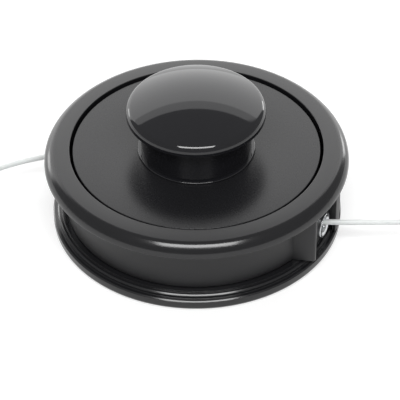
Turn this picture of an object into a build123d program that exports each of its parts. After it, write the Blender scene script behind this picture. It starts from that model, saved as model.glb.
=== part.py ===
from build123d import *
import math
import os

# Two-line bump-feed trimmer head, lying on its gearbox side with the bump knob up.
# Millimetres, +Z up through the knob, origin at the bottom centre of the base flange.

# Line and eyelets
line_diameter = 2.4
eyelet_azimuth = -24.6
eyelet_height = 13.0
eyelet_bore_radius = 3.0
eyelet_wall = 1.3
eyelet_flange_radius = 5.6
eyelet_flange_thickness = 1.1
eyelet_mouth_round = 2.0
tail_bend_share = 0.45

# Base: stepped flange, floor, hub and centre post
flange_width = 2.0
flange_height = 4.8
flange_round = 0.9
step_width = 1.7
step_height = 6.6
step_round = 0.7
seat_width = 2.3
seat_height = 7.2
floor_top = 4.6
floor_thickness = 2.6
skirt_width = 3.8
spigot_width = 2.0
spigot_height = 2.0
hub_pad_radius = 20.0
rib_count = 12
rib_width = 2.2
rib_inset = 0.4
post_foot_top = 14.0
post_radius = 9.5
post_top = 31.8

# Drum: wall, mouth ring and the two eyelet bosses
rim_radius = 65.0
rim_width = 11.0
rim_top = 36.8
rim_thickness = 6.1
rim_shoulder_round = 2.6
rim_shoulder_angle = 41.0
rim_crown_round = 6.6
rim_lower_round = 0.4
mouth_round = 0.6
wall_thickness = 2.4
wall_fillet = 1.2
parting_gap = 0.5
parting_depth = 1.0
boss_height = 5.4
boss_half_width = 17.0
boss_root_half_width = 24.3
boss_edge_round = 1.0
boss_lift = 0.1
cheek_width = 1.4
fin_side = 6.8
fin_width = 4.4
pocket_depth = 3.4
pocket_lintel = 2.0

# Drum screws, two in each boss
screw_radius = 1.5
screw_length = 15.0
screw_head_radius = 3.3
screw_head_height = 2.0
screw_head_chamfer = 0.7
screw_seat = 2.8
screw_cover = 1.3
screw_side = 12.0
screw_recess_radius = 1.1
screw_recess_depth = 1.2

# Arbor nut for the gearbox shaft, M10 x 1.25 left hand
arbor_thread_radius = 5.0
arbor_nut_flats = 17.0
arbor_nut_height = 10.0
arbor_nut_bottom = 0.6
arbor_nut_chamfer = 0.6
shaft_room_radius = 5.4

# Captive knob bolt, M8 left hand, and the brass insert that it screws into
bolt_radius = 4.0
bolt_tip = 21.0
bolt_head_flats = 13.0
bolt_head_height = 5.3
bolt_head_bottom = 45.0
bolt_chamfer = 0.8
insert_radius = 5.8
insert_length = 12.0
insert_groove_width = 1.2
insert_groove_depth = 0.5

# Bump travel, index dogs and spring
knob_travel = 5.0
spool_drop_gap = 0.6
socket_headroom = 0.9
dog_count = 12
dog_angle = 12.0
dog_height = 3.0
dog_depth = 3.0
dog_bottom = 27.2
spring_wire = 1.6
spring_room = 4.5
spring_turns = 5.0
spring_washer = 0.8
thrust_washer = 1.0

# Spool: disc flush with the mouth, two chambers and a hub
disc_gap = 1.3
disc_top = 36.4
disc_thickness = 3.4
disc_round = 0.6
spool_flange_gap = 0.95
spool_flange_thickness = 1.8
core_radius = 20.0
core_wall = 2.5
shelf_bottom = 26.0
line_notch_width = 4.0
line_notch_depth = 6.0
winding_depth = 21.0
winding_turns = 4

# Knob: mushroom with a hollow neck and a hexagon socket for the bolt head
neck_radius = 25.0
neck_wall = 3.0
lip_radius = 29.45
lip_low = 54.7
lip_high = 55.9
lip_under = 53.6
lip_round = 0.6
neck_fillet = 1.0
neck_foot_round = 0.5
dome_rise = 9.5
shoulder_round = 4.0
dome_shell = 3.2
sleeve_radius = 11.8
sleeve_bottom = 41.0
knob_rib_count = 6
knob_rib_width = 1.8
knob_rib_bottom = 40.0
stop_washer_radius = 9.0
stop_washer_thickness = 1.6
circlip_thickness = 1.2
circlip_bite = 0.9
circlip_radial = 1.9
circlip_gap = 40.0
knob_washer_thickness = 1.1
knob_washer_inner = 16.0
knob_washer_outer = 24.5

# Clearances
running_gap = 0.4
seat_gap = 0.05
thrust_gap = 0.1
thread_gap = 0.03
socket_gap = 0.3
dog_gap = 0.2

# Values worked out from those above
mouth_radius = rim_radius - rim_width
wall_radius = mouth_radius + wall_thickness
seat_radius = wall_radius + seat_width
step_radius = seat_radius + step_width
flange_radius = step_radius + flange_width
boss_face = wall_radius + boss_height
screw_out = mouth_radius + screw_cover
drum_seat = seat_height
floor_bottom = floor_top - floor_thickness
rim_bottom = rim_top - rim_thickness
rim_joint = math.radians(rim_shoulder_angle)
rim_blend = rim_crown_round - rim_shoulder_round
rim_flat_radius = rim_radius - rim_crown_round + rim_blend * math.sin(rim_joint)
crown_centre_height = rim_top - rim_shoulder_round - rim_blend * math.cos(rim_joint)
spigot_radius = mouth_radius - seat_gap
spigot_bore = spigot_radius - spigot_width
disc_radius = mouth_radius - disc_gap
spool_flange_radius = spigot_bore - spool_flange_gap
core_bore = core_radius - core_wall
post_foot_radius = core_bore - spring_room
spring_mean_radius = core_bore - spring_room / 2
winding_radius = core_radius + winding_depth
washer_top = floor_top + spring_washer
spring_top = shelf_bottom - thrust_washer
hub_bore = post_radius + running_gap + dog_depth
washer_seat = disc_top + thrust_gap - knob_washer_thickness
knob_bottom = disc_top + 2 * thrust_gap
spool_bottom = floor_top + knob_travel + spool_drop_gap
disc_low = disc_top - disc_thickness
chamber_low = spool_bottom + spool_flange_thickness
middle_low = (spool_bottom + disc_low) / 2
middle_top = middle_low + spool_flange_thickness
bolt_head_top = bolt_head_bottom + bolt_head_height
socket_top = bolt_head_top + knob_travel + socket_headroom
dog_pitch = 360.0 / dog_count
eyelet_barrel_radius = eyelet_bore_radius + eyelet_wall
eyelet_seat = boss_face - pocket_depth
stop_top = bolt_head_bottom - thrust_gap
cap_over = dome_rise - shoulder_round
cap_drop = ((lip_radius - shoulder_round) ** 2 - cap_over ** 2) / (2 * cap_over)
cap_centre = lip_high - cap_drop
cap_radius = dome_rise + cap_drop
circlip_top = stop_top - stop_washer_thickness

# Routes of the two line tails, from the eyelet bore outwards, chosen by hand
right_route = [
    (49.0, -23.1, 14.0), (54.6, -23.65, 14.0), (63.5, -24.0, 14.0), (78.0, -24.1, 13.9),
    (95.0, -23.6, 13.6), (113.0, -21.9, 13.1), (130.6, -18.9, 12.4),
]
left_route = [
    (-49.0, 23.1, 14.0), (-54.6, 23.65, 14.0), (-63.5, 22.6, 14.0), (-75.0, 19.6, 13.9),
    (-88.5, 13.8, 13.6), (-101.5, 6.3, 13.1), (-113.2, -2.5, 12.5),
]


def disc(radius, low, high):
    """A plain cylinder about Z between two heights."""
    return Pos(0, 0, low) * Cylinder(radius, high - low, align=(Align.CENTER, Align.CENTER, Align.MIN))


def ring(inner, outer, low, high):
    """A plain ring about Z between two heights."""
    return disc(outer, low, high) - disc(inner, low, high)


def hexagon(flats, low, high):
    """A hexagon prism about Z, given across its flats."""
    prism = extrude(RegularPolygon(flats / 2, 6, major_radius=False), high - low)
    return Pos(0, 0, low) * prism


def rounded(face, rounds):
    """Round the corners of a profile; each entry is a corner and its radius."""
    for corner, radius in rounds:
        face = fillet(face.vertices().sort_by_distance((corner[0], corner[1], 0))[0], radius)
    return face


def turned(points, rounds=()):
    """Revolve a profile of radius and height points about Z."""
    face = rounded(make_face(Polyline(*points, close=True)), rounds)
    return revolve(Plane.XZ * face, Axis.Z)


def around(count, shape, start=0.0):
    """Copies of a shape evenly spaced about Z."""
    return [Rot(0, 0, start + 360.0 * i / count) * shape for i in range(count)]


def bar(x_low, x_high, y_low, y_high, low, high):
    """A block between two places along X, two along Y and two heights."""
    block = Box(x_high - x_low, y_high - y_low, high - low, align=(Align.MIN, Align.MIN, Align.MIN))
    return Pos(x_low, y_low, low) * block


def sector(inner, outer, angle, low, high):
    """A piece of a ring of the given angle, centred on +X."""
    half = math.radians(angle / 2)
    reach = outer / math.cos(half) + outer
    wedge = Polyline((0, 0), (reach, -reach * math.tan(half)), (reach, reach * math.tan(half)), close=True)
    return ring(inner, outer, low, high) & Pos(0, 0, low) * extrude(make_face(wedge), high - low)


def at_bosses(shape):
    """The same shape at both eyelet bosses; +X is the boss's own outward direction."""
    return [Rot(0, 0, eyelet_azimuth + turn) * shape for turn in (0, 180)]


def at_screws(shape):
    """The same shape at the four drum screws."""
    sides = [Pos(screw_out, side * screw_side, 0) * shape for side in (-1, 1)]
    return [copy for side in sides for copy in at_bosses(side)]


def radial(shape):
    """Turn a shape made about Z so that it points out along +X at eyelet height."""
    return Pos(0, 0, eyelet_height) * Rot(0, 90, 0) * shape


def make_base():
    """Base moulding: stepped flange, floor with ribs below, spigot, hub and dogged post."""
    spigot_top = seat_height + spigot_height
    skirt_inner = flange_radius - skirt_width
    body = turned(
        [
            (0, 0), (hub_pad_radius, 0), (hub_pad_radius, floor_bottom), (skirt_inner, floor_bottom),
            (skirt_inner, 0), (flange_radius, 0), (flange_radius, flange_height),
            (step_radius, flange_height), (step_radius, step_height), (seat_radius, step_height),
            (seat_radius, seat_height), (spigot_radius, seat_height), (spigot_radius, spigot_top),
            (spigot_bore, spigot_top), (spigot_bore, floor_top),
            (post_foot_radius, floor_top), (post_foot_radius, post_foot_top), (post_radius, post_foot_top),
            (post_radius, post_top), (0, post_top),
        ],
        [((flange_radius, flange_height), flange_round), ((step_radius, step_height), step_round)],
    )
    rib = bar(hub_pad_radius - rib_width, skirt_inner + rib_width, -rib_width / 2, rib_width / 2,
              rib_inset, floor_bottom)
    body += around(rib_count, rib)
    dog = sector(post_radius - dog_depth, post_radius + dog_depth, dog_angle,
                 dog_bottom - dog_gap, dog_bottom + dog_height + dog_gap)
    body += around(dog_count, dog, dog_pitch / 2)
    body -= hexagon(arbor_nut_flats + 2 * seat_gap, 0, arbor_nut_bottom + arbor_nut_height)
    body -= disc(shaft_room_radius, 0, post_top)
    body -= disc(insert_radius + seat_gap, post_top - insert_length, post_top)
    body -= at_screws(disc(screw_radius + thread_gap, 0, seat_height))
    body -= at_screws(disc(screw_head_radius + running_gap, 0, screw_seat))
    return body


def arc_point(centre, radius, angle):
    """Point on an arc whose surface has turned down from level by an angle, in degrees."""
    turn = math.radians(angle)
    return centre[0] + radius * math.sin(turn), centre[1] + radius * math.cos(turn)


def make_drum():
    """Drum moulding: wall, crowned mouth ring and two bosses with an eyelet pocket between cheek and fin."""
    crown_centre = rim_radius - rim_crown_round, crown_centre_height
    crown_end, crown_middle, joint = [
        arc_point(crown_centre, rim_crown_round, angle)
        for angle in (90, (90 + rim_shoulder_angle) / 2, rim_shoulder_angle)
    ]
    shoulder_centre = rim_flat_radius, rim_top - rim_shoulder_round
    shoulder_middle = arc_point(shoulder_centre, rim_shoulder_round, rim_shoulder_angle / 2)
    foot_radius = wall_radius - parting_depth
    foot_top = drum_seat + parting_gap
    profile = make_face([
        Polyline(
            (rim_flat_radius, rim_top), (mouth_radius, rim_top), (mouth_radius, drum_seat),
            (foot_radius, drum_seat), (foot_radius, foot_top), (wall_radius, foot_top),
            (wall_radius, rim_bottom), (rim_radius, rim_bottom), crown_end,
        ),
        ThreePointArc(crown_end, crown_middle, joint),
        ThreePointArc(joint, shoulder_middle, (rim_flat_radius, rim_top)),
    ])
    profile = rounded(profile, [
        ((wall_radius, rim_bottom), wall_fillet), ((rim_radius, rim_bottom), rim_lower_round),
        ((mouth_radius, rim_top), mouth_round),
    ])
    drum = revolve(Plane.XZ * profile, Axis.Z)
    outline = make_face(Polyline(
        (mouth_radius - boss_half_width, -boss_root_half_width), (boss_face, -boss_half_width),
        (boss_face, boss_half_width), (mouth_radius - boss_half_width, boss_root_half_width), close=True,
    ))
    outline = rounded(outline, [((boss_face, -boss_half_width), boss_edge_round)])
    boss_bottom = drum_seat + boss_lift
    boss = Pos(0, 0, boss_bottom) * extrude(outline, rim_bottom + rim_lower_round - boss_bottom)
    boss -= disc(mouth_radius, 0, rim_top)
    pocket_top = rim_bottom - pocket_lintel
    fin_back = fin_side + fin_width
    boss -= bar(eyelet_seat, rim_radius, cheek_width - boss_half_width, fin_side, 0, pocket_top)
    boss -= bar(eyelet_seat, rim_radius, fin_back, boss_root_half_width, 0, pocket_top)
    boss += bar(step_radius + boss_lift, boss_face, fin_side, fin_back,
                flange_height + boss_lift, boss_bottom)
    drum += at_bosses(boss)
    drum -= at_bosses(radial(disc(eyelet_barrel_radius + seat_gap, 0, boss_face)))
    drum -= at_screws(disc(screw_radius + thread_gap, 0, screw_seat + screw_length + running_gap))
    return drum


def make_screws():
    """Four thread-forming screws, driven from below by a hexagon key."""
    head_low = screw_seat - screw_head_height
    tip = screw_seat + screw_length
    screw = turned([
        (0, head_low), (screw_head_radius - screw_head_chamfer, head_low),
        (screw_head_radius, head_low + screw_head_chamfer), (screw_head_radius, screw_seat),
        (screw_radius, screw_seat), (screw_radius, tip - screw_radius), (0, tip),
    ])
    screw -= hexagon(2 * screw_recess_radius, head_low, head_low + screw_recess_depth)
    return Compound(children=[copy.solid() for copy in at_screws(screw)])


def make_arbor_nut():
    """Steel nut moulded into the hub, with a plain bore at the thread's nominal size."""
    top = arbor_nut_bottom + arbor_nut_height
    nut = hexagon(arbor_nut_flats, arbor_nut_bottom, top) - disc(arbor_thread_radius, 0, post_top)
    mouths = nut.edges().filter_by(GeomType.CIRCLE)
    return chamfer(mouths, arbor_nut_chamfer)


def make_insert():
    """Brass threaded insert in the top of the post, with two grip grooves."""
    low = post_top - insert_length
    body = ring(bolt_radius + thread_gap, insert_radius, low, post_top)
    for share in (1, 2):
        middle = low + insert_length * share / 3
        low_edge = middle - insert_groove_width / 2
        body -= ring(insert_radius - insert_groove_depth, insert_radius + seat_gap,
                     low_edge, low_edge + insert_groove_width)
    return body


def make_bolt():
    """Captive bolt: hexagon head inside the knob, shank down into the insert."""
    shank = disc(bolt_radius, bolt_tip, bolt_head_bottom)
    shank = chamfer(shank.edges().group_by(Axis.Z)[0], bolt_chamfer)
    head = hexagon(bolt_head_flats, bolt_head_bottom, bolt_head_top)
    crown = turned(
        [(0, bolt_head_bottom), (bolt_head_flats, bolt_head_bottom),
         (bolt_head_flats, bolt_head_top - bolt_head_flats / 2 + bolt_chamfer / 2),
         (bolt_head_flats / 2, bolt_head_top), (0, bolt_head_top)],
    )
    return shank + (head & crown)


def make_spring():
    """Compression spring between the two washers, its wire drawn with six flats to keep it light."""
    low = washer_top + spring_wire / 2
    rise = spring_top - spring_wire / 2 - low
    path = Helix(rise / spring_turns, rise, spring_mean_radius)
    section = Plane(path @ 0, z_dir=path % 0) * RegularPolygon(spring_wire / 2 - seat_gap, 6)
    return Pos(0, 0, low) * sweep(section, path)


def make_spring_seat():
    """Flat steel washer on the floor under the spring."""
    return ring(spring_mean_radius - spring_wire, spring_mean_radius + spring_wire, floor_top, washer_top)


def make_thrust_washer():
    """Flat steel washer between the spring and the turning spool."""
    return ring(post_foot_radius + running_gap, core_bore - running_gap, spring_top, shelf_bottom)


def make_spool():
    """Spool moulding: outer disc, two chambers, spring cavity and twelve inner dogs."""
    body = turned(
        [
            (core_bore, spool_bottom), (spool_flange_radius, spool_bottom),
            (spool_flange_radius, chamber_low), (core_radius, chamber_low), (core_radius, middle_low),
            (spool_flange_radius, middle_low), (spool_flange_radius, middle_top), (core_radius, middle_top),
            (core_radius, disc_low), (disc_radius, disc_low), (disc_radius, disc_top),
            (knob_washer_outer + seat_gap, disc_top), (knob_washer_outer + seat_gap, washer_seat),
            (hub_bore, washer_seat), (hub_bore, shelf_bottom), (core_bore, shelf_bottom),
        ],
        [((disc_radius, disc_top), disc_round)],
    )
    dog = sector(post_radius + running_gap, hub_bore + core_wall, dog_angle,
                 dog_bottom, dog_bottom + dog_height)
    body += around(dog_count, dog)
    notch = bar(spool_flange_radius - line_notch_depth, rim_radius,
                -line_notch_width / 2, line_notch_width / 2, middle_low, middle_top)
    return body - around(2, notch)


def make_winding(low, high):
    """Wound line in one chamber, its outside showing the turns side by side."""
    pitch = (high - low) / winding_turns
    core = core_radius + seat_gap
    profile = [(core, high), (core, low)]
    for turn in range(winding_turns):
        start = low + pitch * turn
        profile += [(winding_radius, start), (winding_radius + line_diameter / 2, start + pitch / 2)]
    return turned(profile + [(winding_radius, high)])


def dome_height(radius):
    """Height of the dome's broad cap at a radius."""
    return cap_centre + math.sqrt(cap_radius ** 2 - radius ** 2)


def make_knob():
    """Bump knob: dome, rounded lip, hollow neck with ribs, and a sleeve for the bolt head."""
    top = lip_high + dome_rise
    shoulder = math.atan2(lip_high - cap_centre, lip_radius - shoulder_round)
    cap_edge = cap_radius * math.cos(shoulder)
    middle = shoulder_round * math.cos(shoulder / 2), shoulder_round * math.sin(shoulder / 2)
    shell = make_face([
        Polyline((0, top), (0, knob_bottom), (neck_radius, knob_bottom), (neck_radius, lip_under),
                 (lip_radius, lip_low), (lip_radius, lip_high)),
        ThreePointArc((lip_radius, lip_high), (lip_radius - shoulder_round + middle[0], lip_high + middle[1]),
                      (cap_edge, dome_height(cap_edge))),
        ThreePointArc((cap_edge, dome_height(cap_edge)), (cap_edge / 2, dome_height(cap_edge / 2)), (0, top)),
    ])
    shell = rounded(shell, [
        ((neck_radius, knob_bottom), neck_foot_round), ((neck_radius, lip_under), neck_fillet),
        ((lip_radius, lip_low), lip_round),
    ])
    knob = revolve(Plane.XZ * shell, Axis.Z)
    bore = neck_radius - neck_wall
    cavity = turned([
        (0, knob_bottom), (bore, knob_bottom), (bore, dome_height(bore) - dome_shell),
        (sleeve_radius, dome_height(sleeve_radius) - dome_shell), (sleeve_radius, sleeve_bottom),
        (0, sleeve_bottom),
    ])
    rib = bar(sleeve_radius - knob_rib_width, neck_radius, -knob_rib_width / 2, knob_rib_width / 2,
              knob_rib_bottom, top)
    knob -= cavity - around(knob_rib_count, rib)
    knob -= hexagon(bolt_head_flats + 2 * socket_gap, sleeve_bottom, socket_top)
    knob -= disc(stop_washer_radius + seat_gap, sleeve_bottom, stop_top)
    groove_low = circlip_top - circlip_thickness - seat_gap
    knob -= disc(stop_washer_radius + circlip_bite + seat_gap, groove_low, circlip_top)
    return knob


def make_stop_washer():
    """Hardened washer that meets the bolt head and holds the knob up."""
    return ring(bolt_radius + running_gap, stop_washer_radius, circlip_top, stop_top)


def make_circlip():
    """Internal circlip in the sleeve's groove, under the stop washer."""
    outer = stop_washer_radius + circlip_bite
    low = circlip_top - circlip_thickness
    clip = ring(outer - circlip_radial, outer, low, circlip_top)
    return clip - sector(0, outer + circlip_bite, circlip_gap, low, circlip_top)


def make_knob_washer():
    """Slippery washer let into the disc, under the neck of the knob."""
    return ring(knob_washer_inner, knob_washer_outer, washer_seat, washer_seat + knob_washer_thickness)


def make_eyelet():
    """Turned steel eyelet, its mouth rounded for the line, made about +X."""
    face = eyelet_seat + eyelet_flange_thickness
    sleeve = turned(
        [
            (eyelet_bore_radius, mouth_radius), (eyelet_barrel_radius, mouth_radius),
            (eyelet_barrel_radius, eyelet_seat), (eyelet_flange_radius, eyelet_seat),
            (eyelet_flange_radius, face), (eyelet_bore_radius, face),
        ],
        [((eyelet_bore_radius, face), eyelet_mouth_round)],
    )
    return radial(sleeve)


def make_tail(route):
    """A line tail as a round tube along straight runs joined by tangent arcs."""
    points = [Vector(*point) for point in route]
    runs = [after - before for before, after in zip(points, points[1:])]
    radii = []
    for before, after in zip(runs, runs[1:]):
        half_turn = math.radians(before.get_angle(after)) / 2
        radii.append(tail_bend_share * min(before.length, after.length) / math.tan(half_turn))
    print("tail radii:", [round(radius) for radius in radii])
    path = FilletPolyline(*points, radius=radii)
    tail = sweep(Plane(path @ 0, z_dir=path % 0) * Circle(line_diameter / 2), path)
    print("tail length:", round(path.length, 1), "volume share:",
          round(tail.volume / (math.pi * line_diameter ** 2 / 4 * path.length), 4))
    return tail


eyelet_right, eyelet_left = at_bosses(make_eyelet())

nodes = {
    "base_housing": make_base(),
    "drum_cover": make_drum(),
    "drum_screws": make_screws(),
    "arbor_nut": make_arbor_nut(),
    "bolt_insert": make_insert(),
    "knob_bolt": make_bolt(),
    "spring": make_spring(),
    "spring_seat_washer": make_spring_seat(),
    "spring_thrust_washer": make_thrust_washer(),
    "spool": make_spool(),
    "line_winding_lower": make_winding(chamber_low, middle_low),
    "line_winding_upper": make_winding(middle_top, disc_low),
    "bump_knob": make_knob(),
    "stop_washer": make_stop_washer(),
    "knob_circlip": make_circlip(),
    "knob_washer": make_knob_washer(),
    "eyelet_right": eyelet_right,
    "eyelet_left": eyelet_left,
    "line_tail_right": make_tail(right_route),
    "line_tail_left": make_tail(left_route),
}

os.makedirs("parts", exist_ok=True)
for name, shape in nodes.items():
    export_step(shape, f"parts/{name}.step")
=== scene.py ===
import bmesh
import bpy
import math
from mathutils import Matrix, Vector


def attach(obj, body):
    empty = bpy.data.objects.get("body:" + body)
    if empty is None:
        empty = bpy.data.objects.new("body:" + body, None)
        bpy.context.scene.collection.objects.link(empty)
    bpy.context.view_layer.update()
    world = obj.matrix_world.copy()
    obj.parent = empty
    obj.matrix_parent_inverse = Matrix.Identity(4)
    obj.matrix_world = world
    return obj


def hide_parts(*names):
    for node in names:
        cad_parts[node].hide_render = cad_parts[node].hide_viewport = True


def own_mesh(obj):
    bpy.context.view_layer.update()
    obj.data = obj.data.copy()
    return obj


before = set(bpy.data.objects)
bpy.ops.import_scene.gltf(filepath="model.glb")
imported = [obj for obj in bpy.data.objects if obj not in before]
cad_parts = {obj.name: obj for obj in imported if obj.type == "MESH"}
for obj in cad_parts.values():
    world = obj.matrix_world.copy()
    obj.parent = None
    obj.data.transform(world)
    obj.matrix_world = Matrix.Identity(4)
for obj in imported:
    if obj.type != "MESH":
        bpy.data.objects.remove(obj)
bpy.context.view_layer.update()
scene = bpy.context.scene
scene.view_settings.view_transform = "Standard"

# Camera
# A long lens about 0.9 m away looks down on the head at 41 degrees, with a slight roll to the right.
# Its place comes from fitting the circles of the rim, mouth, flange and knob in the picture.
MM = 0.001
camera_back, camera_height, camera_right = 690.8, 599.8, 1.28
camera_pitch, camera_roll = math.radians(40.65), math.radians(-0.6)
focal_pixels, picture_width = 2096.0, 400.0
sensor_width, near_clip = 36.0, 0.05
camera_data = bpy.data.cameras.new("studio_camera")
camera_data.sensor_width = sensor_width
camera_data.lens = focal_pixels / picture_width * sensor_width
camera_data.clip_start = near_clip
camera = bpy.data.objects.new("studio_camera", camera_data)
camera.matrix_world = (
    Matrix.Translation((camera_right * MM, -camera_back * MM, camera_height * MM))
    @ Matrix.Rotation(math.pi / 2 - camera_pitch, 4, "X")
    @ Matrix.Rotation(camera_roll, 4, "Z")
)
scene.collection.objects.link(camera)
scene.camera = camera


# Studio
# A white backdrop stands behind the head, wider to the left, in a dark room, so that the knob's gloss shows a pale
# back half with a sharp edge. A softbox above the camera draws the highlights along the front, and a small light on
# either side of the backdrop brightens the edges of the dome and of the neck's foot.
def linear(code):
    """An sRGB hex colour as linear red, green, blue and alpha."""
    channels = [int(code[i:i + 2], 16) / 255 for i in (1, 3, 5)]
    return [c / 12.92 if c <= 0.04045 else ((c + 0.055) / 1.055) ** 2.4 for c in channels] + [1.0]


def add(tree, kind, inputs=None, links=None, **settings):
    """Add a shader node with its settings, input values and incoming links."""
    made = tree.nodes.new(kind)
    for name, value in settings.items():
        setattr(made, name, value)
    for name, value in (inputs or {}).items():
        made.inputs[name].default_value = value
    for name, source in (links or {}).items():
        tree.links.new(source, made.inputs[name])
    return made


# Places on the backdrop are metres across and up at one metre's distance behind the head.
white = "#ffffff"
room_level, backdrop_level, backdrop_top_level = 0.35, 2.1, 1.4
backdrop_left, backdrop_right = -1.6, 1.0
backdrop_step, backdrop_top = 1.05, 1.42
top_fade, side_fade = 0.03, 0.1
world = bpy.data.worlds.new("white_backdrop_in_a_dark_room")
world.use_nodes = True
room = world.node_tree
room.nodes.clear()
direction = add(room, "ShaderNodeTexCoord")
along = add(room, "ShaderNodeSeparateXYZ", links={"Vector": direction.outputs["Generated"]})
back = along.outputs["Y"]
across, above = [
    add(room, "ShaderNodeMath", links={0: along.outputs[axis], 1: back}, operation="DIVIDE").outputs["Value"]
    for axis in ("X", "Z")
]
# The first is the backdrop's own level, in two steps; the others are where it begins and ends.
level, cover, *edges = [
    add(room, "ShaderNodeMapRange", {"From Min": start, "From Max": end, "To Min": first, "To Max": last},
        {"Value": place}, interpolation_type="SMOOTHSTEP").outputs["Result"]
    for place, start, end, first, last in (
        (above, backdrop_step, backdrop_step + top_fade, backdrop_level, backdrop_top_level),
        (back, 0.0, top_fade, 0.0, 1.0),
        (across, backdrop_left - side_fade, backdrop_left + side_fade, 0.0, 1.0),
        (across, backdrop_right - side_fade, backdrop_right + side_fade, 1.0, 0.0),
        (above, backdrop_top, backdrop_top + top_fade, 1.0, 0.0),
    )
]
for edge in edges:
    cover = add(room, "ShaderNodeMath", links={0: cover, 1: edge}, operation="MULTIPLY").outputs["Value"]
lit = add(room, "ShaderNodeMix", {"A": room_level}, {"Factor": cover, "B": level})
eye = add(room, "ShaderNodeLightPath")
shown = add(room, "ShaderNodeMix", {"B": 1.0},
            {"Factor": eye.outputs["Is Camera Ray"], "A": lit.outputs["Result"]})
glow = add(room, "ShaderNodeBackground", {"Color": linear(white)}, {"Strength": shown.outputs["Result"]})
add(room, "ShaderNodeOutputWorld", links={"Surface": glow.outputs["Background"]})
scene.world = world

# Matt white paper: it scatters light evenly and keeps the head's soft shadow. The eye sees it lifted to white. For
# gloss it also carries a painted glow that brightens the flat floor behind the head, standing in for a sweep lit by
# the backdrop.
floor_half = 6.0
floor_white = "#cccccc"
floor_lift, gloss_lift, painted_sweep_glow = 0.52, 0.42, 1.0
painted_glow_start, painted_glow_end = 0.08, 0.25
floor_corners = [(x * floor_half, y * floor_half, 0) for x, y in ((-1, -1), (1, -1), (1, 1), (-1, 1))]
floor_mesh = bpy.data.meshes.new("pale_table")
floor_mesh.from_pydata(floor_corners, [], [(0, 1, 2, 3)])
table_top = bpy.data.objects.new("pale_table", floor_mesh)
scene.collection.objects.link(table_top)
paper = bpy.data.materials.new("white_paper_painted_sweep_glow")
paper.use_nodes = True
sheet = paper.node_tree
sheet.nodes.clear()
rays = add(sheet, "ShaderNodeLightPath")
spot = add(sheet, "ShaderNodeTexCoord")
depth = add(sheet, "ShaderNodeSeparateXYZ", links={"Vector": spot.outputs["Object"]})
# Painted glow for gloss rays: the floor's emission ramps up from just behind the head towards the backdrop.
rise = add(sheet, "ShaderNodeMapRange",
           {"From Min": painted_glow_start, "From Max": painted_glow_end, "To Min": gloss_lift, "To Max": painted_sweep_glow},
           {"Value": depth.outputs["Y"]})
reflected = add(sheet, "ShaderNodeMath",
                links={0: rays.outputs["Is Glossy Ray"], 1: rays.outputs["Is Transmission Ray"]},
                operation="MAXIMUM")
mirrored = add(sheet, "ShaderNodeMath", links={0: reflected.outputs["Value"], 1: rise.outputs["Result"]},
               operation="MULTIPLY")
seen = add(sheet, "ShaderNodeMath", {1: floor_lift}, {0: rays.outputs["Is Camera Ray"]}, operation="MULTIPLY")
lift = add(sheet, "ShaderNodeMath", links={0: seen.outputs["Value"], 1: mirrored.outputs["Value"]},
           operation="MAXIMUM")
matt = add(sheet, "ShaderNodeBsdfDiffuse", {"Color": linear(floor_white)})
bright = add(sheet, "ShaderNodeEmission", {"Color": linear(white)}, {"Strength": lift.outputs["Value"]})
both = add(sheet, "ShaderNodeAddShader", links={0: matt.outputs["BSDF"], 1: bright.outputs["Emission"]})
add(sheet, "ShaderNodeOutputMaterial", links={"Surface": both.outputs["Shader"]})
floor_mesh.materials.append(paper)

# Azimuth runs from straight behind the head to the left.
softbox_size, side_size = (0.66, 0.235), (0.4, 0.4)
for name, watts, size, distance, azimuth, elevation in (
    ("front_softbox", 5.4, softbox_size, 0.9, 180.0, 57.0),
    ("left_strip_light", 1.45, side_size, 2.0, 48.0, 5.0),
    ("right_strip_light", 2.1, side_size, 2.0, -40.0, 4.0),
):
    azimuth, elevation = math.radians(azimuth), math.radians(elevation)
    lamp_data = bpy.data.lights.new(name, "AREA")
    lamp_data.shape = "RECTANGLE"
    lamp_data.size, lamp_data.size_y = size
    lamp_data.energy = watts
    lamp = bpy.data.objects.new(name, lamp_data)
    lamp.location = distance * Vector((-math.sin(azimuth) * math.cos(elevation),
                                       math.cos(azimuth) * math.cos(elevation), math.sin(elevation)))
    lamp.rotation_euler = (math.pi / 2 - elevation, 0, math.pi + azimuth)
    scene.collection.objects.link(lamp)


# Base moulding
# Glass-filled nylon, injection moulded in one piece: a stepped flange, a ribbed floor and a dogged centre post.
# It lies flat on its gearbox side, and the drum is screwed down on its seat.
def eased(corners, rounds, pieces=7):
    """A closed outline with some corners turned into arcs; rounds maps a corner's index to its radius."""
    outline = []
    for i, corner in enumerate(corners):
        here = Vector(corner)
        if i not in rounds:
            outline.append(here)
            continue
        before = (Vector(corners[i - 1]) - here).normalized()
        after = (Vector(corners[(i + 1) % len(corners)]) - here).normalized()
        half = before.angle(after) / 2
        centre = here + (before + after).normalized() * rounds[i] / math.sin(half)
        start = here + before * rounds[i] / math.tan(half) - centre
        end = here + after * rounds[i] / math.tan(half) - centre
        swing = start.angle(end)
        for k in range(pieces + 1):
            share = k / pieces
            spoke = (start * math.sin((1 - share) * swing) + end * math.sin(share * swing)) / math.sin(swing)
            outline.append(centre + spoke)
    return outline


def keep(name, shape):
    """Turn a bmesh into an object in the row frame."""
    bmesh.ops.recalc_face_normals(shape, faces=shape.faces)
    mesh = bpy.data.meshes.new(name)
    shape.to_mesh(mesh)
    shape.free()
    made = bpy.data.objects.new(name, mesh)
    scene.collection.objects.link(made)
    return made


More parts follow.
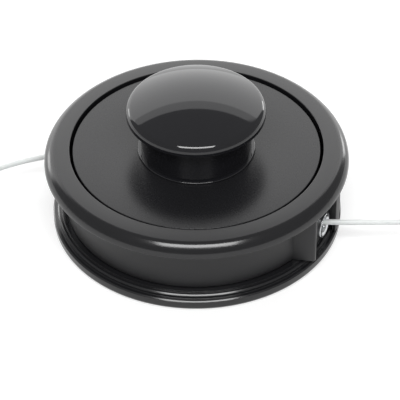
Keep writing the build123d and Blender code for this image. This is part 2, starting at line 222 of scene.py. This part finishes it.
def lathe(name, outline, steps=256):
    """Revolve an outline of radius and height, in millimetres, about Z; points at radius 0 close it on the axis."""
    shape = bmesh.new()
    rings = []
    for radius, high in outline:
        count = 1 if radius == 0 else steps
        rings.append([
            shape.verts.new((radius * MM * math.cos(2 * math.pi * k / steps),
                             radius * MM * math.sin(2 * math.pi * k / steps), high * MM))
            for k in range(count)
        ])
    for low, top in zip(rings, rings[1:] + rings[:1]):
        for k in range(steps):
            corners = [low[k % len(low)], low[(k + 1) % len(low)], top[(k + 1) % len(top)], top[k % len(top)]]
            corners = [c for i, c in enumerate(corners) if c not in corners[:i]]
            if len(corners) > 2:
                shape.faces.new(corners)
    return keep(name, shape)


def prism(name, outline, low, high, turn=0.0):
    """Extrude a flat outline, in millimetres, between two heights, and turn it about Z by some degrees."""
    shape = bmesh.new()
    spin = Matrix.Rotation(math.radians(turn), 4, "Z")
    rows = [[shape.verts.new(spin @ Vector((x * MM, y * MM, z * MM))) for x, y in outline] for z in (low, high)]
    shape.faces.new(rows[0])
    shape.faces.new(rows[1])
    for k in range(len(outline)):
        after = (k + 1) % len(outline)
        shape.faces.new((rows[0][k], rows[0][after], rows[1][after], rows[1][k]))
    return keep(name, shape)


def circle(radius, x=0.0, y=0.0, steps=64):
    """A round outline in millimetres."""
    return [(x + radius * math.cos(2 * math.pi * k / steps), y + radius * math.sin(2 * math.pi * k / steps))
            for k in range(steps)]


def oblong(inner, outer, low, high):
    """A straight-sided outline."""
    return [(inner, low), (outer, low), (outer, high), (inner, high)]


def wedge(corners):
    """An outline round the axis from radii in millimetres and angles."""
    return [(radius * math.cos(angle), radius * math.sin(angle)) for radius, angle in corners]


def settle(piece):
    """Make what a piece's modifiers give its mesh."""
    bpy.context.view_layer.update()
    piece.data = bpy.data.meshes.new_from_object(piece.evaluated_get(bpy.context.evaluated_depsgraph_get()))
    piece.modifiers.clear()


def fuse(target, tools, operation):
    """Join tools to a piece, or cut them out of it, and drop the tools."""
    for tool in tools:
        step = target.modifiers.new("fuse", "BOOLEAN")
        step.operation = operation
        step.solver = "EXACT"
        step.object = tool
    settle(target)
    for tool in tools:
        bpy.data.objects.remove(tool)


def dress(piece, material, body, node):
    """Shade a piece, give it its material, hang it on its body's empty and hide the CAD node that it stands in for.
    """
    crease = math.radians(35.0)
    piece.data.shade_smooth()
    piece.data.set_sharp_from_angle(angle=crease)
    piece.data.materials.clear()
    piece.data.materials.append(material)
    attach(piece, body)
    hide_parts(node)


def moulded_plastic(name, dark, light, rough, grain, wave, ior, skins=()):
    """Moulded plastic: faint flow clouds in the colour, a fine tool grain and a slow sink wave in the skin.
    Rough is the least and most roughness; grain and wave are each a width and a depth in millimetres.
    Skins are heights in millimetres, each with the roughness that the tool adds there."""
    cloud_detail, grain_detail = 4.0, 3.0
    grain_width, grain_depth = grain
    wave_width, wave_depth = wave
    material = bpy.data.materials.new(name)
    material.use_nodes = True
    tree = material.node_tree
    tree.nodes.clear()
    place = add(tree, "ShaderNodeTexCoord")
    clouds = add(tree, "ShaderNodeTexNoise", {"Scale": 1 / (wave_width * MM), "Detail": cloud_detail},
                 {"Vector": place.outputs["Object"]})
    specks = add(tree, "ShaderNodeTexNoise", {"Scale": 1 / (grain_width * MM), "Detail": grain_detail},
                 {"Vector": place.outputs["Object"]})
    colour = add(tree, "ShaderNodeMix", {"A": linear(dark), "B": linear(light)},
                 {"Factor": clouds.outputs["Fac"]}, data_type="RGBA")
    sheen = add(tree, "ShaderNodeMapRange", {"To Min": rough[0], "To Max": rough[1]},
                {"Value": specks.outputs["Fac"]})
    if skins:
        top = skins[-1][0]
        at = add(tree, "ShaderNodeSeparateXYZ", links={"Vector": place.outputs["Object"]})
        share = add(tree, "ShaderNodeMath", {1: top * MM}, {0: at.outputs["Z"]}, operation="DIVIDE")
        duller = add(tree, "ShaderNodeValToRGB", links={"Fac": share.outputs["Value"]})
        stops = duller.color_ramp.elements
        for high, _ in skins[1:-1]:
            stops.new(high / top)
        for stop, (_, more) in zip(stops, skins):
            stop.color = (more, more, more, 1.0)
        sheen = add(tree, "ShaderNodeMath", links={0: sheen.outputs[0], 1: duller.outputs["Color"]},
                    operation="ADD")
    sink = add(tree, "ShaderNodeBump", {"Strength": 1.0, "Distance": wave_depth * MM},
               {"Height": clouds.outputs["Fac"]})
    skin = add(tree, "ShaderNodeBump", {"Strength": 1.0, "Distance": grain_depth * MM},
               {"Height": specks.outputs["Fac"], "Normal": sink.outputs["Normal"]})
    shader = add(tree, "ShaderNodeBsdfPrincipled", {"IOR": ior},
                 {"Base Color": colour.outputs["Result"], "Roughness": sheen.outputs[0],
                  "Normal": skin.outputs["Normal"]})
    add(tree, "ShaderNodeOutputMaterial", links={"Surface": shader.outputs["BSDF"]})
    return material


# Satin black nylon: soft reflections with clear edges, and a grain that only shows close up. The real grain, well
# under 0.1 mm, is too fine to show, so it is drawn 0.6 mm wide, and likewise on the other mouldings.
satin_nylon = moulded_plastic("satin_black_nylon", "#18181a", "#1c1c1e", rough=(0.15, 0.2),
                              grain=(0.6, 0.0008), wave=(14.0, 0.004), ior=1.53)

flange_radius, step_radius, seat_radius, skirt_bore = 62.4, 60.4, 58.7, 58.6
hub_pad_radius = 20.0
floor_low, floor_top = 2.0, 4.6
flange_top, step_top, seat_top, spigot_top = 4.8, 6.6, 7.2, 9.2
spigot_radius, spigot_bore = 53.95, 51.95
edge_in, edge_down = 0.58, 0.5
post_foot_radius, post_foot_top = 13.0, 14.0
post_radius, post_top = 9.5, 31.8
pad_round, skirt_round, flange_round, facet_round = 0.4, 0.3, 1.8, 0.15
step_round, seat_round, post_round = 0.25, 0.1, 0.5
base = lathe("base_moulding", eased(
    [
        (0, 0), (hub_pad_radius, 0), (hub_pad_radius, floor_low), (skirt_bore, floor_low), (skirt_bore, 0),
        (flange_radius, 0), (flange_radius, flange_top - edge_down), (flange_radius - edge_in, flange_top),
        (step_radius, flange_top), (step_radius, step_top - edge_down), (step_radius - edge_in, step_top),
        (seat_radius, step_top), (seat_radius, seat_top), (spigot_radius, seat_top), (spigot_radius, spigot_top),
        (spigot_bore, spigot_top), (spigot_bore, floor_top), (post_foot_radius, floor_top),
        (post_foot_radius, post_foot_top), (post_radius, post_foot_top), (post_radius, post_top), (0, post_top),
    ],
    {1: pad_round, 4: skirt_round, 5: flange_round, 6: facet_round, 7: facet_round, 8: step_round,
     9: facet_round, 10: facet_round, 11: seat_round, 12: seat_round, 20: post_round},
))
# Forms that are joined or cut reach this far past the face that they meet.
overlap = 1.0
rib_count, rib_half, rib_low = 12, 1.1, 0.4
rib = oblong(hub_pad_radius - overlap, skirt_bore + overlap, -rib_half, rib_half)
ribs = [prism("rib", rib, rib_low, floor_low + overlap, 360 / rib_count * k) for k in range(rib_count)]
dog_count, dog_half, dog_low, dog_high = 12, math.radians(6.0), 27.0, 30.4
dog_inner, dog_outer = 8.0, 12.5
dog = wedge([(dog_inner, -dog_half), (dog_outer, -dog_half), (dog_outer, 0.0), (dog_outer, dog_half),
             (dog_inner, dog_half)])
dogs = [prism("dog", dog, dog_low, dog_high, 360 / dog_count * (k + 0.5)) for k in range(dog_count)]
fuse(base, ribs + dogs, "UNION")
nut_flats, nut_pocket_top, nut_turn = 17.1, 10.6, 30
shaft_room, insert_bore, insert_low = 5.4, 5.85, 19.8
eyelet_azimuth = -24.6
screw_out, screw_side, screw_hole, screw_head_hole, screw_seat = 55.3, 12.0, 1.53, 3.7, 2.8
hexagon = circle(nut_flats / 2 / math.cos(math.pi / 6), steps=6)
holes = [
    prism("pocket", hexagon, -overlap, nut_pocket_top, nut_turn),
    prism("room", circle(shaft_room), -overlap, insert_low + overlap),
    prism("insert", circle(insert_bore), insert_low, post_top + overlap),
]
for turn in (eyelet_azimuth, eyelet_azimuth + 180):
    for side in (-screw_side, screw_side):
        for radius, high in ((screw_hole, spigot_top + overlap), (screw_head_hole, screw_seat)):
            holes.append(prism("screw_hole", circle(radius, screw_out, side), -overlap, high, turn))
fuse(base, holes, "DIFFERENCE")
dress(base, satin_nylon, "housing", "base_housing")


# Drum moulding
# The same nylon: a thin wall, a thick mouth ring whose top falls outwards a little, and two bosses, each a pocket
# between a thin cheek and a thick fin. It sits on the base's seat with a fine parting gap, and four screws from
# below pull it down.
mouth_radius, wall_radius = 54.0, 56.4
rim_radius, rim_top, rim_low = 65.0, 36.8, 30.7
ring_flat, ring_fall = 60.43, math.radians(5.0)
ring_arcs = [(3.5, math.radians(38.0)), (10.0, math.radians(47.0)), (5.6, math.pi / 2)]
parting_radius, parting_top = 55.4, 7.7
mouth_round, parting_round, root_round, rim_round = 0.35, 0.1, 1.2, 0.4


def bend(start, turn, arcs, pieces=12):
    """Points along tangent arcs that start at a slope and turn further down; arcs are radii and end slopes."""
    points = [start]
    for radius, end in arcs:
        middle = points[-1][0] - radius * math.sin(turn), points[-1][1] - radius * math.cos(turn)
        turns = [turn + (end - turn) * k / pieces for k in range(1, pieces + 1)]
        points += [(middle[0] + radius * math.sin(t), middle[1] + radius * math.cos(t)) for t in turns]
        turn = end
    return points


ring_edge = bend((ring_flat, rim_top), ring_fall, ring_arcs)
mouth_top = rim_top + (ring_flat - mouth_radius) * math.tan(ring_fall)
drum_corners = [
    (mouth_radius, mouth_top), (mouth_radius, seat_top), (parting_radius, seat_top), (parting_radius, parting_top),
    (wall_radius, parting_top), (wall_radius, rim_low), (rim_radius, rim_low),
]
drum = lathe("drum_moulding", eased(drum_corners + ring_edge[::-1],
                                    {0: mouth_round, 4: parting_round, 5: root_round, 6: rim_round}))


def softened(piece, width):
    """Round every sharp edge of a piece a little."""
    bevel = piece.modifiers.new("edge", "BEVEL")
    bevel.width = width * MM
    bevel.segments = 3
    bevel.limit_method = "ANGLE"
    bevel.angle_limit = math.radians(40)
    settle(piece)


def point_out(piece, turn):
    """Lay a piece made about Z along the axis of an eyelet, which points outwards at some degrees."""
    piece.data.transform(
        Matrix.Rotation(math.radians(turn), 4, "Z")
        @ Matrix.Translation((0, 0, eyelet_height * MM))
        @ Matrix.Rotation(math.pi / 2, 4, "Y")
    )
    return piece


boss_face, boss_half, boss_root, boss_root_half = 61.8, 17.0, 37.0, 24.3
boss_low, boss_high, boss_inner = 7.3, 31.1, 55.2
boss_round, boss_edge = 1.0, 0.25
cheek_side, pocket_top, pocket_face = -15.6, 28.7, 58.4
fin_side, fin_back, fin_foot, fin_low = 6.8, 11.2, 60.5, 4.9
# The fin's foot stays a hair inside the boss, so that no two of their faces lie in one plane.
foot_inset = 0.05
eyelet_height, eyelet_hole, eyelet_hole_inner = 13.0, 4.35, 50.0
boss_outline = eased([(boss_root, -boss_root_half), (boss_face, -boss_half), (boss_face, boss_half),
                      (boss_root, boss_root_half)], {1: boss_round})
foot_outline = oblong(fin_foot, boss_face - foot_inset, fin_side + foot_inset, fin_back - foot_inset)
for turn in (eyelet_azimuth, eyelet_azimuth + 180):
    boss = prism("boss", boss_outline, boss_low, boss_high, turn)
    foot = prism("foot", foot_outline, fin_low, boss_low + overlap, turn)
    softened(foot, boss_edge)
    fuse(boss, [prism("pocket", oblong(pocket_face, rim_radius, cheek_side, fin_side), 0, pocket_top, turn),
                prism("behind", oblong(pocket_face, rim_radius, fin_back, boss_root_half), 0, pocket_top, turn)],
         "DIFFERENCE")
    softened(boss, boss_edge)
    fuse(boss, [prism("inside", circle(boss_inner, steps=128), 0, rim_top)], "DIFFERENCE")
    fuse(boss, [foot], "UNION")
    fuse(drum, [boss], "UNION")
    fuse(drum, [point_out(prism("hole", circle(eyelet_hole), eyelet_hole_inner, boss_face), turn)], "DIFFERENCE")
# The same satin black, but the wall below the ring keeps the coarser skin of the tool and spreads its reflections,
# and the ring's top is a little duller than its polished shoulder.
wall_skin, ring_skin, wall_fade, ring_fade = 0.26, 0.12, 0.2, 0.1
drum_nylon = moulded_plastic("satin_black_nylon_textured_wall", "#161618", "#1a1a1c", rough=(0.15, 0.2),
                             grain=(0.6, 0.0008), wave=(14.0, 0.004), ior=1.53,
                             skins=[(0, wall_skin), (rim_low, wall_skin), (rim_low + wall_fade, 0.0),
                                    (rim_top - ring_fade, 0.0), (rim_top, ring_skin)])
dress(drum, drum_nylon, "housing", "drum_cover")


# Spool
# The same family of nylon, moulded as a flat disc flush with the mouth over two line chambers.
# It turns with the line it feeds, and a spring holds it up against the neck of the knob.
core_radius, core_bore, hub_bore = 20.0, 17.5, 12.9
spool_flange_radius, spool_flange = 51.0, 1.8
spool_low, disc_low, disc_top, disc_radius = 10.2, 33.0, 36.4, 52.7
shelf_low = 26.0
washer_seat_radius, washer_seat = 24.55, 35.4
spool_round, disc_round, washer_round = 0.3, 0.35, 0.2
spool_middle = (spool_low + disc_low) / 2
spool = lathe("spool_moulding", eased(
    [
        (core_bore, spool_low), (spool_flange_radius, spool_low), (spool_flange_radius, spool_low + spool_flange),
        (core_radius, spool_low + spool_flange), (core_radius, spool_middle), (spool_flange_radius, spool_middle),
        (spool_flange_radius, spool_middle + spool_flange), (core_radius, spool_middle + spool_flange),
        (core_radius, disc_low), (disc_radius, disc_low), (disc_radius, disc_top), (washer_seat_radius, disc_top),
        (washer_seat_radius, washer_seat), (hub_bore, washer_seat), (hub_bore, shelf_low), (core_bore, shelf_low),
    ],
    {1: spool_round, 2: spool_round, 5: spool_round, 6: spool_round, 9: spool_round, 10: disc_round,
     11: washer_round},
))
spool_dog_inner, spool_dog_outer, spool_dog_low, spool_dog_high = 9.9, 14.5, 27.2, 30.2
spool_dog = wedge([(spool_dog_inner, -dog_half), (spool_dog_outer, -dog_half), (spool_dog_outer, dog_half),
                   (spool_dog_inner, dog_half), (spool_dog_inner, 0.0)])
spool_dogs = [prism("dog", spool_dog, spool_dog_low, spool_dog_high, 360 / dog_count * k) for k in range(dog_count)]
fuse(spool, spool_dogs, "UNION")
notch_inner, notch_half, notch_over = 45.0, 2.0, 0.5
notches = [
    prism("notch", oblong(notch_inner, rim_radius, -notch_half, notch_half), spool_middle - notch_over,
          spool_middle + spool_flange + notch_over, turn)
    for turn in (0, 180)
]
fuse(spool, notches, "DIFFERENCE")
# Satin black disc nylon: a duller skin than the drum's, which blurs the backdrop into an even grey.
disc_nylon = moulded_plastic("satin_black_disc_nylon", "#1a1a1c", "#1e1e20", rough=(0.25, 0.31),
                             grain=(0.5, 0.0006), wave=(16.0, 0.005), ior=1.45)
dress(spool, disc_nylon, "spool", "spool")


# Bump knob
# Polished black nylon, moulded as a hollow mushroom that the user bumps on the ground or presses by hand. Its neck
# stands on a low foot bead. It slides on the hexagon head of the captive bolt and carries the spool down with it.
neck_radius, neck_low, neck_bore = 23.6, 36.6, 22.0
foot_radius, foot_top = 25.0, 37.25
lip_radius, lip_under, lip_low, lip_high = 29.45, 53.6, 54.7, 55.9
foot_low_round, foot_round, neck_round, lip_round = 0.1, 0.5, 1.0, 0.3
shoulder_round, dome_rise, dome_shell = 4.0, 9.5, 3.2
shoulder_steps, cap_steps = 14, 40
sleeve_radius, sleeve_low, sleeve_bore, sleeve_step = 11.8, 41.0, 9.05, 2.2
socket_top, stop_top = 56.2, 44.9
clip_bore, clip_low, clip_top = 9.95, 42.05, 43.3
cap_over = dome_rise - shoulder_round
cap_drop = ((lip_radius - shoulder_round) ** 2 - cap_over ** 2) / (2 * cap_over)
cap_centre, cap_radius = lip_high - cap_drop, dome_rise + cap_drop


def cap_height(radius):
    """Height of the dome's broad cap at a radius."""
    return cap_centre + math.sqrt(cap_radius ** 2 - radius ** 2)


shoulder_turn = math.atan2(lip_high - cap_centre, lip_radius - shoulder_round)
cap_edge = cap_radius * math.cos(shoulder_turn)
under = eased([(neck_bore, neck_low), (foot_radius, neck_low), (foot_radius, foot_top), (neck_radius, foot_top),
               (neck_radius, lip_under), (lip_radius, lip_low), (lip_radius, lip_high)],
              {1: foot_low_round, 2: foot_round, 4: neck_round, 5: lip_round})
shoulder_turns = [shoulder_turn * k / shoulder_steps for k in range(shoulder_steps + 1)]
shoulder = [(lip_radius - shoulder_round + shoulder_round * math.cos(turn),
             lip_high + shoulder_round * math.sin(turn)) for turn in shoulder_turns]
cap_radii = [cap_edge * (1 - k / cap_steps) for k in range(1, cap_steps + 1)]
cap = [(radius, cap_height(radius)) for radius in cap_radii]
socket_radius = sleeve_bore - sleeve_step
inside = [
    (0, socket_top), (socket_radius, socket_top), (socket_radius, stop_top), (sleeve_bore, stop_top),
    (sleeve_bore, clip_top), (clip_bore, clip_top), (clip_bore, clip_low), (sleeve_bore, clip_low),
    (sleeve_bore, sleeve_low), (sleeve_radius, sleeve_low), (sleeve_radius, cap_height(sleeve_radius) - dome_shell),
    (neck_bore, cap_height(neck_bore) - dome_shell),
]
knob = lathe("knob_moulding", inside + under[:-1] + shoulder + cap)
knob_rib_count, knob_rib_half, knob_rib_low, knob_rib_high = 6, 0.9, 40.0, 59.0
knob_rib = oblong(sleeve_radius - overlap, neck_bore + overlap, -knob_rib_half, knob_rib_half)
knob_ribs = [prism("rib", knob_rib, knob_rib_low, knob_rib_high, 360 / knob_rib_count * k)
             for k in range(knob_rib_count)]
fuse(knob, knob_ribs, "UNION")
# Polished black nylon: sharp mirror images of the room, since the tool for the dome was polished.
gloss_nylon = moulded_plastic("polished_black_nylon", "#18181b", "#1b1b1e", rough=(0.045, 0.065),
                              grain=(1.2, 0.0002), wave=(11.0, 0.003), ior=1.53)
dress(knob, gloss_nylon, "knob", "bump_knob")


# Eyelets
# Turned steel with a bright nickel plate, pressed into the bosses from outside, with mouths rounded for the line.
# They take the wear of the line, so the bores are the smoothest surface on the head.
def bright_metal(name, dark, light, rough, grain):
    """Bare or plated metal: a slightly cloudy colour, a fine grain and uneven sheen.
    Rough is the least and most roughness; grain is a width and a depth in millimetres."""
    grain_detail = 4.0
    grain_width, grain_depth = grain
    material = bpy.data.materials.new(name)
    material.use_nodes = True
    tree = material.node_tree
    tree.nodes.clear()
    place = add(tree, "ShaderNodeTexCoord")
    specks = add(tree, "ShaderNodeTexNoise", {"Scale": 1 / (grain_width * MM), "Detail": grain_detail},
                 {"Vector": place.outputs["Object"]})
    colour = add(tree, "ShaderNodeMix", {"A": linear(dark), "B": linear(light)},
                 {"Factor": specks.outputs["Fac"]}, data_type="RGBA")
    sheen = add(tree, "ShaderNodeMapRange", {"To Min": rough[0], "To Max": rough[1]},
                {"Value": specks.outputs["Fac"]})
    skin = add(tree, "ShaderNodeBump", {"Strength": 1.0, "Distance": grain_depth * MM},
               {"Height": specks.outputs["Fac"]})
    shader = add(tree, "ShaderNodeBsdfPrincipled", {"Metallic": 1.0},
                 {"Base Color": colour.outputs["Result"], "Roughness": sheen.outputs["Result"],
                  "Normal": skin.outputs["Normal"]})
    add(tree, "ShaderNodeOutputMaterial", links={"Surface": shader.outputs["BSDF"]})
    return material


# Bright nickel on turned steel: near-white reflections, a little blurred by turning marks. The real marks, about
# 0.1 mm apart, are too fine to show, so the grain is drawn 0.9 mm wide.
nickel = bright_metal("bright_nickel_turned_steel", "#c9cbcd", "#e2e4e6", rough=(0.1, 0.2), grain=(0.9, 0.001))
eyelet_bore, eyelet_barrel, eyelet_flange = 3.0, 4.3, 5.6
eyelet_face, eyelet_steps = 59.5, 96
eyelet_edge, eyelet_mouth = 0.3, 2.0
eyelet_outline = eased(
    [
        (eyelet_bore, mouth_radius), (eyelet_barrel, mouth_radius), (eyelet_barrel, pocket_face),
        (eyelet_flange, pocket_face), (eyelet_flange, eyelet_face), (eyelet_bore, eyelet_face),
    ],
    {4: eyelet_edge, 5: eyelet_mouth},
)
for side, turn in (("right", eyelet_azimuth), ("left", eyelet_azimuth + 180)):
    eyelet = point_out(lathe("turned_eyelet_" + side, eyelet_outline, eyelet_steps), turn)
    dress(eyelet, nickel, "housing", "eyelet_" + side)


# Cutting line tails
# Round white nylon monofilament, 2.4 mm thick, cut square. Each tail leaves its eyelet and sweeps gently round.
# It is stiff enough to hold the curl it had on the spool, so it doesn't droop to the table.
line_diameter = 2.4
line_rounding, line_steps, line_order = 6, 16, 3
tails = {
    "right": (82.0, [(49.0, -23.1, 14.0), (54.6, -23.65, 14.0), (63.5, -24.0, 14.0), (78.0, -24.1, 13.9),
                     (95.0, -23.6, 13.6), (113.0, -21.9, 13.1), (130.6, -18.9, 12.4)]),
    "left": (70.8, [(-49.0, 23.1, 14.0), (-54.6, 23.65, 14.0), (-63.5, 22.6, 14.0), (-75.0, 19.6, 13.9),
                    (-88.5, 13.8, 13.6), (-101.5, 6.3, 13.1), (-113.2, -2.5, 12.5)]),
}
# Milky monofilament: nearly white and faintly cloudy. It lets a little light through, so its shading is soft.
line_dark, line_light, line_ior = "#e6e9e8", "#eff2f1", 1.53
line_rough_low, line_rough_high = 0.25, 0.4
cloud_width, cloud_detail = 3.0, 3.0
milky_share, milky_depth = 0.6, 1.0
line_nylon = bpy.data.materials.new("milky_nylon_monofilament")
line_nylon.use_nodes = True
strand = line_nylon.node_tree
strand.nodes.clear()
place = add(strand, "ShaderNodeTexCoord")
cloud = add(strand, "ShaderNodeTexNoise", {"Scale": 1 / (cloud_width * MM), "Detail": cloud_detail},
            {"Vector": place.outputs["Object"]})
colour = add(strand, "ShaderNodeMix", {"A": linear(line_dark), "B": linear(line_light)},
             {"Factor": cloud.outputs["Fac"]}, data_type="RGBA")
sheen = add(strand, "ShaderNodeMapRange", {"To Min": line_rough_low, "To Max": line_rough_high},
            {"Value": cloud.outputs["Fac"]})
shader = add(strand, "ShaderNodeBsdfPrincipled",
             {"IOR": line_ior, "Subsurface Weight": milky_share, "Subsurface Radius": (1.0, 1.0, 1.0),
              "Subsurface Scale": milky_depth * MM},
             {"Base Color": colour.outputs["Result"], "Roughness": sheen.outputs["Result"]})
add(strand, "ShaderNodeOutputMaterial", links={"Surface": shader.outputs["BSDF"]})
for side, (length, route) in tails.items():
    curve = bpy.data.curves.new("cutting_line_" + side, "CURVE")
    curve.dimensions = "3D"
    curve.bevel_depth = line_diameter / 2 * MM
    curve.bevel_resolution = line_rounding
    curve.resolution_u = line_steps
    curve.use_fill_caps = True
    spline = curve.splines.new("NURBS")
    spline.points.add(len(route) - 1)
    for point, spot in zip(spline.points, route):
        point.co = [c * MM for c in spot] + [1.0]
    spline.order_u = line_order
    spline.use_endpoint_u = True
    tail = bpy.data.objects.new("cutting_line_" + side, curve)
    scene.collection.objects.link(tail)
    curve.materials.append(line_nylon)
    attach(tail, "housing")
    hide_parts("line_tail_" + side)


# Spring
# Oiled spring steel wire, coiled cold in five turns with plain ends, between its seat washer and its thrust washer.
# It stands on the base and is drawn at rest; in use it shortens as the knob carries the spool down.
wire_radius, coil_radius, coil_turns, turn_steps, wire_sides = 0.75, 15.25, 5, 48, 12
coil_seat, coil_low, coil_high, press_travel = 5.4, 6.2, 24.2, 5.0
climb = (coil_high - coil_low) / (2 * math.pi * coil_turns)
coil = bmesh.new()
hoops = []
for k in range(coil_turns * turn_steps + 1):
    turn = 2 * math.pi * k / turn_steps
    outward = Vector((math.cos(turn), math.sin(turn), 0))
    forward = Vector((-math.sin(turn) * coil_radius, math.cos(turn) * coil_radius, climb)).normalized()
    upward = outward.cross(forward)
    middle = outward * coil_radius + Vector((0, 0, coil_low + climb * turn))
    hoops.append([coil.verts.new((middle + outward * x + upward * y) * MM)
                  for x, y in circle(wire_radius, steps=wire_sides)])
for hoop, after in zip(hoops, hoops[1:]):
    for s in range(wire_sides):
        coil.faces.new((hoop[s], hoop[s - 1], after[s - 1], after[s]))
coil.faces.new(hoops[0])
coil.faces.new(hoops[-1])
spring = keep("coil_spring", coil)
# Oiled spring steel: a dull grey sheen, darker than plated steel.
spring_steel = bright_metal("oiled_spring_steel", "#6f7275", "#8a8d90", rough=(0.25, 0.4), grain=(0.7, 0.002))
dress(spring, spring_steel, "housing", "spring")
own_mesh(spring)


# Hidden pieces
# Screws, nut, bolt, insert, washers, clip and the wound line keep their CAD shape.
# They are plated steel, brass, spring steel or nylon, and show only from below or when the head is apart.
# Zinc plate is pale and slightly cloudy, knurled brass a warm yellow, and slippery acetal an off-white satin.
zinc = bright_metal("zinc_plated_steel", "#a9adb0", "#c3c7ca", rough=(0.22, 0.38), grain=(1.5, 0.002))
brass = bright_metal("knurled_brass", "#b58d43", "#cda55a", rough=(0.2, 0.35), grain=(0.8, 0.002))
slip_nylon = moulded_plastic("slippery_white_acetal", "#d8d6cf", "#e6e4de", rough=(0.3, 0.42),
                             grain=(0.5, 0.001), wave=(9.0, 0.003), ior=1.48)
finishes = {
    "drum_screws": zinc, "arbor_nut": zinc, "knob_bolt": zinc, "stop_washer": zinc, "spring_seat_washer": zinc,
    "spring_thrust_washer": zinc, "knob_circlip": spring_steel, "bolt_insert": brass,
    "knob_washer": slip_nylon, "line_winding_lower": line_nylon, "line_winding_upper": line_nylon,
}
for name, finish in finishes.items():
    for face_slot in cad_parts[name].material_slots:
        face_slot.material = finish
